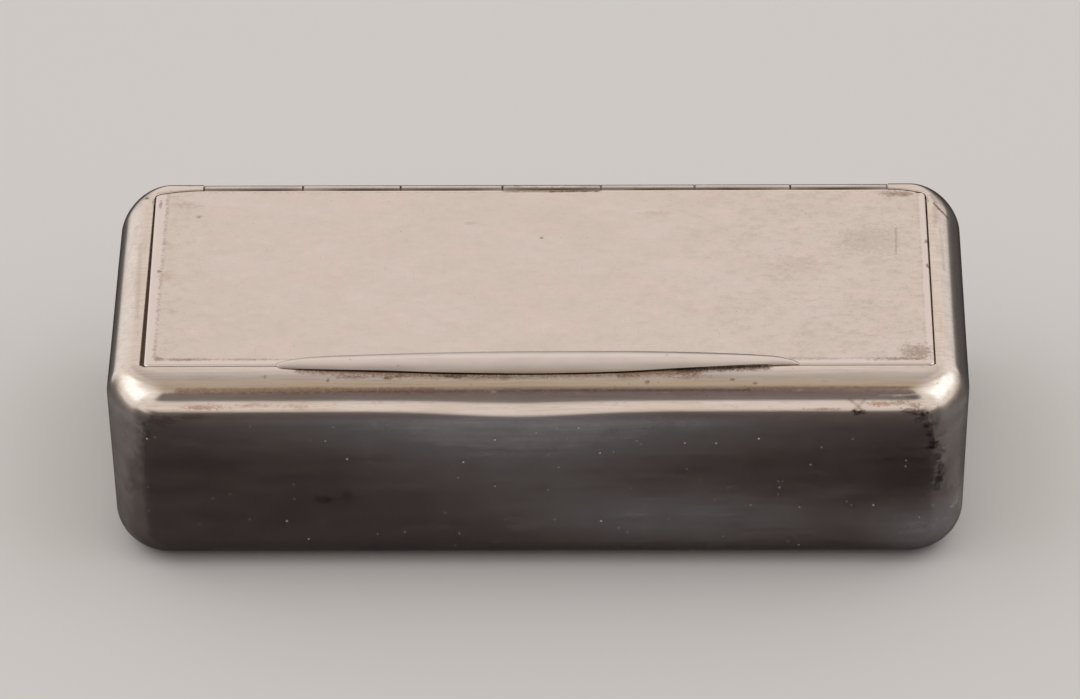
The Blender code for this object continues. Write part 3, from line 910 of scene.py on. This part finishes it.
def wall_material():
    """The outer wall: polished on its rolls, duller and filmed over on its flats, the film partly a painted
    sheen.
    """
    graph = new_graph("wall_satin_silver")
    z = graph.z
    cloud = graph.noise(0.3, 4, 0.6, 2.3, (0.5, 0.8, 1)).rise(0.3, 0.75)
    fine = graph.noise(3, 5, 0.65, 6.1)
    rust = graph.noise(1.3, 6, 0.72, 4.4, (0.5, 1.6, 1.6)).rise(0.54, 0.72) * z.rise(*roll_heights)
    smears = graph.noise(0.9, 4, 0.6, 13.5, (1.6, 0.35, 1)).rise(0.5, 0.66)
    flush = graph.noise(0.45, 6, 0.68, 27, (0.3, 1.3, 1.3)).rise(0.4, 0.62)
    drawn = graph.noise(1.2, 5, 0.7, 21, (0.12, 3.2, 3.2)).rise(0.42, 0.66)
    base = graph.coat(graph.mix(cloud, silver, dull_silver), (
        (rust, 0.42, rust_brown),
        (smears * abs(graph.x).rise(*side_distances), 0.22, grey),
        (graph.specks(2.2, 0.18, 0.1, 9), 0.6, brown),
        (flush * z.rise(*flush_heights), 0.65, flush_red),
        (drawn, 0.26, grey),
    ))
    base = paint_marks(graph, base, wall_marks)
    film_and_sheen, haze = wall_film_and_sheen(graph, fine, fine * 2.4 - 1.2)
    # Blue-grey matt film: a real film that also paints the sheen under the bright band and the lighter lower
    # right of the front
    base = graph.mix(film_and_sheen.rise(0, 0.25), base, film_and_sheen_blue)
    base = graph.mix(haze.rise(0, 0.15), base, haze_grey)
    scuff = 0
    for start, end, width, strength in wall_scuffs:
        scuff = graph.line(start, end, width, 0) * strength + scuff
    dust = graph.specks(1, 0.125, 0.34, 12).at_least(graph.specks(2.3, 0.13, 0.2, 18))
    pale = scuff.at_least(dust * z.rise(*dust_heights))
    base = graph.mix(pale, base, dust_pale)
    within = inner_face(graph)
    base = graph.mix(within, base, inner_colour(graph, fine))
    inside = slot_depth(graph) * within_opening(graph)
    base = graph.mix(inside, base, slot_brown)
    matt = (film_and_sheen + haze).at_least(pale * 0.8) * (1 - within)
    matt = matt.at_least(inside * 0.95)
    rough = fine * 0.08 + 0.065 + z.rise(*dull_heights) * 0.1 + rust * 0.12 + within * 0.14
    scratch = graph.noise(2.2, 2, 0.6, 1.1, (0.25, 9, 9))
    return graph.surface(base, 1 - matt, rough, graph.bump(scratch, wall_scratch_height))


def inner_face(graph):
    """1 where the wall faces the middle of the box."""
    away = graph.vector("SUBTRACT", graph.place, (0, 0, body_height / 2 / mm))
    normal = graph.make("ShaderNodeTexCoord", output="Normal")
    return graph.vector("DOT_PRODUCT", away, normal, output="Value").rise(0, -0.5)


def slot_depth(graph):
    """1 on the faces of the slot between lid and rim, just below the lid's top and down to its underside."""
    return graph.z.past(lid_top, slot_top_offsets) * graph.z.past(lid_under, slot_foot_offsets)


def within_opening(graph):
    """1 inside the opening's edge, where the rim turns down into the gap."""
    aside = abs(graph.x).past(opening_half, rim_side_offsets)
    ahead = graph.y.past(opening_front, rim_front_offsets)
    return aside * ahead * graph.y.past(lid_rear, rim_rear_offsets)


# Marks on the lid, in millimetres
lid_marks = (
    ((-33.25, 11.68, 0), (0.42, 0.28, 0), 0.85, brown),
    ((-34.6, 13.5, 0), (2.2, 0.7, 0), 0.35, grey),
    ((-36.64, 2.71, 0), (0.32, 0.3, 0), 0.75, brown),
    ((-35.8, 2, 0), (1.4, 0.8, 0), 0.2, red),
    ((-37.1, 13.8, 0), (0.2, 0.9, 0), 0.6, brown),
    ((0.24, 8.07, 0), (0.26, 0.28, 0), 0.65, brown),
    ((-6.79, 10.58, 0), (0.9, 0.42, 0), 0.3, grey),
    ((11.22, 12.16, 0), (1.8, 0.45, 0), 0.28, grey),
    ((32.2, 7.6, 0), (4.4, 3.4, 0), 0.28, grey),
    ((24.7, 3.4, 0), (3.6, 2.2, 0), 0.18, grey),
    ((34.63, 9.58, 20.6), (34.5, 5.31, 20.6), 0.2, 0.6, grey),
    ((35.2, 15.2, 0), (2.2, 0.6, 0), 0.65, brown),
    ((34.2, 15.45, 0), (1.6, 0.45, 0), 0.45, brown),
    ((36.95, 15.45, 0), (0.55, 0.16, 0), 0.9, umber),
    ((37.5, 7.35, 0), (0.28, 0.4, 0), 0.85, brown),
    ((37.52, 3.35, 0), (0.22, 0.5, 0), 0.85, brown),
    ((36, -10.4, 0), (2.2, 1.6, 0), 0.55, brown),
    ((34, -11.45, 0), (3.8, 0.34, 0), 0.6, brown),
    ((26, -11.4, 0), (4, 0.3, 0), 0.3, brown),
    ((-36.1, -11.2, 0), (0.8, 0.5, 0), 0.55, brown),
    ((-33.46, -11.35, 0), (3.4, 0.3, 0), 0.55, brown),
    ((-3.6, 15.9, 20.6), (5.8, 15.94, 20.6), 0.34, 0.8, grey),
    ((-3.4, 15.76, 20.6), (1.2, 15.74, 20.6), 0.15, 0.75, brown),
    ((1, 15.75, 20.6), (5.7, 15.84, 20.6), 0.19, 0.9, umber),
    ((14.9, 16.08, 20.6), (23.9, 16.1, 20.6), 0.16, 0.75, umber),
    ((-27.5, -11.35, 0), (3, 0.24, 0), 0.3, brown),
)

# Width of the worn, clean border inside each of the lid's edges, in millimetres
left_border = 0.95
right_border = 0.65
front_border = 0.80
rear_border = 0.28
border_blend = 1.2
border_ragged = 0.28

# Where the lid is worn and where it is peppered with spots, in millimetres to the right of its middle
worn_right = (4, 30)
worn_left = (-30, -37)
peppered_right = (22, 36)
peppered_left = (-34, -36.6)
dark_rim_fade = (12, -12)


def lid_border(graph, ragged):
    """How far inside the lid's edge a point lies, in widths of the worn border there."""
    left = opening_half - (lid_left_front_gap + lid_side_gap) / 2
    sides = (
        (graph.x, left_border, left),
        (graph.x, -right_border, lid_side_gap - opening_half),
        (graph.y, front_border, -lid_front),
        (graph.y, -rear_border, -lid_rear),
    )
    edges = [place * (1 / border) + edge / mm / border for place, border, edge in sides]
    nearest = edges[0]
    for edge in edges[1:]:
        nearest = graph.math("SMOOTH_MIN", nearest, edge, border_blend)
    return nearest + ragged * border_ragged


def lid_material():
    """The lid: matt, mottled and pitted, brown in its corners, clean along its edges."""
    graph = new_graph("lid_matt_silver")
    x = graph.x
    cloud = graph.noise(0.3, 3, 0.5, 2, (0.6, 1, 1)).rise(0.3, 0.7)
    warm = graph.noise(0.42, 4, 0.6, 21, (0.7, 1, 1)).rise(0.46, 0.66)
    patch = graph.noise(1.1, 8, 0.74, 6.6, (0.7, 1.1, 1))
    fine = graph.noise(4.2, 6, 0.76, 4, (0.8, 1.2, 1))
    hair = graph.noise(1.4, 3, 0.6, 3.3, (5, 0.35, 1)).rise(0.64, 0.72)
    worn = x.rise(*worn_right).at_least(x.rise(*worn_left)) * 0.65 + 0.35
    peppered = x.rise(*peppered_right).at_least(x.rise(*peppered_left))
    border = lid_border(graph, fine * 3 - 1.5)
    rim = abs(border - 1.15).rise(0.3, 0.05) * fine.rise(0.42, 0.6)
    base = graph.coat(graph.mix(cloud, silver, lid_dull_silver), (
        (warm, 0.6, lid_warm_silver),
        (patch.rise(0.47, 0.66) * worn, 0.3, grey),
        (patch.rise(0.46, 0.34), 0.5, clean_silver),
        (fine.rise(0.5, 0.7) * worn, 0.36, grey),
        (graph.specks(1.6, 0.14, 0.16, 1), 0.5, brown),
        (graph.specks(3.4, 0.24, 0.28, 24) * peppered, 0.45, brown),
        (hair, 0.2, grey),
        (border.rise(1.2, 0.8), 0.85, clean_silver),
        (rim, x.rise(*dark_rim_fade) * 0.26 + 0.16, brown),
    ))
    base = paint_marks(graph, base, lid_marks)
    underside = graph.z.past(lid_under, slot_foot_offsets[::-1])
    base = graph.mix(underside, base, inner_colour(graph, fine))
    side = slot_depth(graph)
    base = graph.mix(side, base, slot_brown)
    rough = fine * 0.14 + 0.25 + underside * 0.06
    scratch = graph.noise(2.4, 2, 0.6, 1.9, (0.4, 8, 1))
    scratched = graph.bump(scratch, fine_scratch_height)
    normal = graph.bump(patch, lid_pit_height, {"Normal": scratched})
    return graph.surface(base, side * -0.95 + 1, rough, normal)


# Stage
floor_half = 2.0
floor_drop = 0.00001
floor_colour = (0.66, 0.65, 0.63)
floor_roughness = 0.9
floor_gloss = 0.1


def make_floor():
    """A plain pale floor that the silver doesn't mirror, as the box stood on dark cloth."""
    mesh = bpy.data.meshes.new("floor")
    ends = ((-1, -1), (1, -1), (1, 1), (-1, 1))
    mesh.from_pydata([(x * floor_half, y * floor_half, 0) for x, y in ends], [], [(0, 1, 2, 3)])
    material = bpy.data.materials.new("pale_floor")
    material.use_nodes = True
    shader = material.node_tree.nodes["Principled BSDF"]
    shader.inputs["Base Color"].default_value = (*floor_colour, 1.0)
    shader.inputs["Roughness"].default_value = floor_roughness
    shader.inputs["Specular IOR Level"].default_value = floor_gloss
    mesh.materials.append(material)
    floor = put("floor", mesh)
    floor.location.z = -floor_drop
    floor.visible_glossy = False


# Tints of the light
dusk = (1.16, 0.92, 0.92)
shade = (1.08, 0.97, 0.95)
pink = (1.08, 0.98, 0.95)
lilac = (1.04, 0.99, 0.99)
white = (1.03, 1, 0.97)
cool = (0.99, 1, 1.02)
beige = (1.19, 1, 0.81)

# The light straight above
zenith = (90, 0.18, beige)

# Light by height above the horizon, in degrees, for the front and then further round each side
front_light = (
    (-90, 0.022, shade), (-46, 0.029, dusk), (-20, 0.029, dusk), (0, 0.042, dusk), (20, 0.08, dusk),
    (30, 0.14, shade), (34.5, 0.66, pink), (39, 0.84, pink), (56, 0.84, pink),
    (60, 0.58, pink), (62, 0.23, shade), (78, 0.17, dusk), (88, 0.165, dusk),
)
half_front_light = (
    (-90, 0.022, shade), (-38, 0.03, dusk), (-20, 0.036, shade), (0, 0.06, shade), (12, 0.11, shade),
    (20, 0.22, shade), (25, 0.74, pink), (32, 0.86, pink), (58, 0.9, white),
    (66, 1.05, white), (78, 0.9, white), (84, 0.6, beige),
)
side_light = (
    (-90, 0.035, shade), (-50, 0.055, shade), (-38, 0.09, shade), (-20, 0.13, shade), (0, 0.18, shade),
    (9, 0.28, shade), (15, 0.46, pink), (20, 0.84, pink), (33, 1.05, white), (44, 1.6, cool),
    (60, 1.75, cool), (69, 1.3, white), (78, 0.98, white), (84, 0.6, beige),
)
far_side_light = (
    (-90, 0.028, shade), (-50, 0.055, shade), (-38, 0.1, shade), (-20, 0.12, shade), (0, 0.18, shade),
    (9, 0.3, shade), (15, 0.52, pink), (21, 0.7, pink), (30, 1.05, white), (42, 1.6, cool),
    (58, 1.75, cool), (66, 1.25, white), (75, 0.85, white), (84, 0.55, beige),
)
half_rear_light = (
    (-90, 0.02, shade), (-46, 0.058, shade), (-12, 0.115, lilac), (-5, 0.15, lilac), (0, 0.24, lilac),
    (5, 0.74, lilac), (12, 0.94, lilac), (30, 0.96, lilac), (48, 0.92, pink), (60, 0.78, pink),
    (72, 0.62, pink), (84, 0.46, beige),
)
rear_light = (
    (-90, 0.015, shade), (-12, 0.05, shade), (-3, 0.09, shade), (7, 0.2, shade), (15, 0.64, lilac),
    (24, 0.88, pink), (34, 0.89, pink), (44, 0.77, pink), (60, 0.54, pink),
    (78, 0.48, beige), (84, 0.46, beige), (87.5, 0.24, beige),
)

# Where one way's light gives way to the next: (from, to, light), in degrees from the front
further_light = (
    (20, 38, half_front_light),
    (45, 62, side_light),
    (82, 100, far_side_light),
    (118, 135, half_rear_light),
    (145, 162, rear_light),
)
horizon_tilt = 0.287
tilt_fade = (0.35, 0.75)


def fill_ramp(graph, share, stops):
    """A colour ramp over rows of height in degrees, level and tint."""
    ramp = graph.make("ShaderNodeValToRGB", share)
    colours = ramp.socket.node.color_ramp.elements
    for k, (height, level, tint) in enumerate((*stops, zenith)):
        spot = (height + 90) / 180
        stop = colours[k] if k < 2 else colours.new(spot)
        stop.position = spot
        stop.color = (*(level * part for part in tint), 1)
    return ramp


def make_world():
    """Soft studio light fixed to the room: white at both sides, a bright band in front."""
    world = bpy.data.worlds.new("studio")
    bpy.context.scene.world = world
    graph = Graph(world)
    x, y, z = graph.split(graph.make("ShaderNodeTexCoord", output="Generated"))
    lean = x * -horizon_tilt * y.rise(*tilt_fade)
    height = graph.math("ARCSINE", graph.math("MINIMUM", z + lean, 1))
    share = height * (1 / math.pi) + 0.5
    turn = graph.math("ARCTAN2", abs(x), y * -1)
    colour = fill_ramp(graph, share, front_light)
    for low, high, stops in further_light:
        blend = turn.rise(math.radians(low), math.radians(high))
        colour = graph.mix(blend, colour, fill_ramp(graph, share, stops))
    background = graph.make("ShaderNodeBackground", also={"Color": colour, "Strength": 1})
    graph.finish("ShaderNodeOutputWorld", background)


# The photograph's viewpoint
camera_elevation = math.radians(37.0594)
camera_azimuth = math.radians(1.0129)
camera_roll = math.radians(0.7341)
camera_distance = 0.688754
camera_target = Vector((0.0000532, 0.0, 0.0131341))
focal_pixels = 7115.43
frame_pixels = 1080.0
sensor_width = 36.0
near_clip = 0.01


def make_camera():
    """The camera at the photograph's angle."""
    data = bpy.data.cameras.new("camera")
    data.sensor_fit = "HORIZONTAL"
    data.sensor_width = sensor_width
    data.lens = focal_pixels / frame_pixels * sensor_width
    data.clip_start = near_clip
    camera = put("camera", data)
    back = Vector((
        math.sin(camera_azimuth) * math.cos(camera_elevation),
        -math.cos(camera_azimuth) * math.cos(camera_elevation),
        math.sin(camera_elevation),
    ))
    right = Vector((math.cos(camera_azimuth), math.sin(camera_azimuth), 0.0))
    up = back.cross(right)
    turned = Matrix((right, up, back)).transposed() @ Matrix.Rotation(-camera_roll, 3, "Z")
    camera.matrix_world = Matrix.Translation(camera_target + back * camera_distance) @ turned.to_4x4()
    bpy.context.scene.camera = camera


make_world()
make_floor()
make_camera()
make_body_skin(wall_material())
make_lid_skin(lid_material())
# The thumbpiece's darker front is tarnish with painted shade
make_thumb_skin(plain_silver("thumb_rubbed_silver", silver, 0.17, 0.25, thumb_tarnish_and_shade))
# The crease strip's brown paints the shade in the crease behind the thumbpiece
make_thumb_crease(plain_silver("crease_painted_shade", crease_brown, 0.5, 0.2))
make_knuckles(plain_silver("hinge_satin_silver", hinge_silver, 0.2, 0.6, barrel_crevice))

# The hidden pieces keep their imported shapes
strip_nodes = ("hinge_bearer_body", "hinge_bearer_lid", "pin_plug_left", "pin_plug_right")
hidden_finishes = (
    (("base_plate", "lid_flange"), plain_silver("inner_silver", plain_inner_silver, 0.38, 0.6)),
    (("lid_rest",), plain_silver("ledge_silver", plain_inner_silver, 0.38, 0.6, ledge_crevice)),
    (strip_nodes, plain_silver("strip_silver", strip_silver, 0.36, 0.8)),
    (("hinge_pin",), plain_silver("pin_metal", pin_grey, 0.4, 0.5)),
)
for node_names, finish in hidden_finishes:
    for node_name in node_names:
        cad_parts[node_name].material_slots[0].material = finish

bpy.context.scene.view_settings.view_transform = "Standard"
